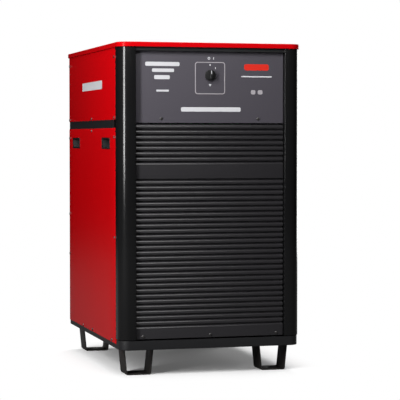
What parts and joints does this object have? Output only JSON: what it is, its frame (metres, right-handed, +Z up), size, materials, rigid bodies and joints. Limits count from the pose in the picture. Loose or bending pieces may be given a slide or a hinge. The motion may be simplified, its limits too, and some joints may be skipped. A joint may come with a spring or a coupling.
{
  "type": "plasma cutter unit",
  "caption": "Floor cabinet for a plasma cutter's power source, with rounded front posts, a louvred front, a main switch and rear connections, on bent strap feet.",
  "frame": {"origin": "on the floor, at the middle of the whole unit's plan", "axes": "+Z up, the front with the switch and louvres faces -Y, +X to the right as seen from the front"},
  "size_m": [0.608, 0.828, 1.062],
  "materials": {
    "red_paint": "gloss powder coat",
    "post_gloss_black": "gloss black",
    "frame_black": "satin black powder coat",
    "louvre_black": "satin black powder coat",
    "panel_grey": "satin dark grey",
    "foot_black": "satin black",
    "moulded_black": "moulded black plastic",
    "screw_black": "black zinc screws",
    "zinc_steel": "bright zinc plate",
    "guard_wire": "bright plated wire",
    "fan_casting": "black moulded fan frame",
    "brass_fitting": "turned brass",
    "tank_natural": "natural polyethylene",
    "window_clear": "clear moulded lens",
    "core_steel": "varnished laminations",
    "winding_copper": "varnished copper with tape",
    "sink_aluminium": "extruded aluminium",
    "capacitor_sleeve": "shrink sleeve",
    "pump_paint": "painted casting",
    "relay_plastic": "moulded plastic",
    "board_green": "circuit board"
  },
  "bodies": {
    "cabinet": {"air_inlet": "brass_fitting", "base_tray": "frame_black", "capacitor_bank": "capacitor_sleeve", "contactor": "relay_plastic", "control_board": "board_green", "control_panel": "panel_grey", "coolant_couplings": "brass_fitting", "coolant_pump": "pump_paint", "coolant_tank": "tank_natural", "fan_frame_left": "fan_casting", "fan_frame_right": "fan_casting", "fan_guard_left": "guard_wire", "fan_guard_right": "guard_wire", "filler_neck": "tank_natural", "foot_bolts": "zinc_steel", "foot_front_left": "foot_black", "foot_front_right": "foot_black", "foot_rear_left": "foot_black", "foot_rear_right": "foot_black", "front_header": "frame_black", "front_post_left": "post_gloss_black", "front_post_right": "post_gloss_black", "grip_cup_front_left": "moulded_black", "grip_cup_front_right": "moulded_black", "grip_cup_rear_left": "moulded_black", "grip_cup_rear_right": "moulded_black", "heatsink": "sink_aluminium", "interface_socket": "zinc_steel", "level_window": "window_clear", "lid": "red_paint", "louvre_panel": "louvre_black", "mains_gland": "moulded_black", "output_choke": "core_steel", "panel_screws": "screw_black", "power_modules": "moulded_black", "radiator": "sink_aluminium", "rear_lower_panel": "frame_black", "rear_post_left": "frame_black", "rear_post_right": "frame_black", "rear_upper_panel": "frame_black", "shelf": "zinc_steel", "side_panel_lower_left": "red_paint", "side_panel_lower_right": "red_paint", "side_panel_upper_left": "red_paint", "side_panel_upper_right": "red_paint", "side_rail_left": "frame_black", "side_rail_right": "frame_black", "switch_body": "moulded_black", "switch_label": "panel_grey", "torch_gland": "moulded_black", "transformer_core": "core_steel", "transformer_windings": "winding_copper", "work_socket": "moulded_black"},
    "main_switch": {"switch_knob": "moulded_black", "switch_shaft": "zinc_steel"},
    "fan_left": {"fan_rotor_left": "moulded_black"},
    "fan_right": {"fan_rotor_right": "moulded_black"},
    "filler_cap_body": {"filler_cap": "moulded_black"}
  },
  "joints": [
    {"name": "main_switch_turn", "type": "hinge", "parent": "cabinet", "child": "main_switch", "pos_m": [0, -0.4, 0.959], "axis": [0, 1, 0], "range_deg": [0, 90]},
    {"name": "fan_left_spin", "type": "hinge", "parent": "cabinet", "child": "fan_left", "pos_m": [-0.131, 0.37, 0.406], "axis": [0, 1, 0], "continuous": true},
    {"name": "fan_right_spin", "type": "hinge", "parent": "cabinet", "child": "fan_right", "pos_m": [0.131, 0.37, 0.406], "axis": [0, 1, 0], "continuous": true},
    {"name": "filler_cap_turn", "type": "hinge", "parent": "cabinet", "child": "filler_cap_body", "pos_m": [0.192, 0.382, 0.85], "axis": [0, 0, 1], "range_deg": [0, 90]}
  ]
}
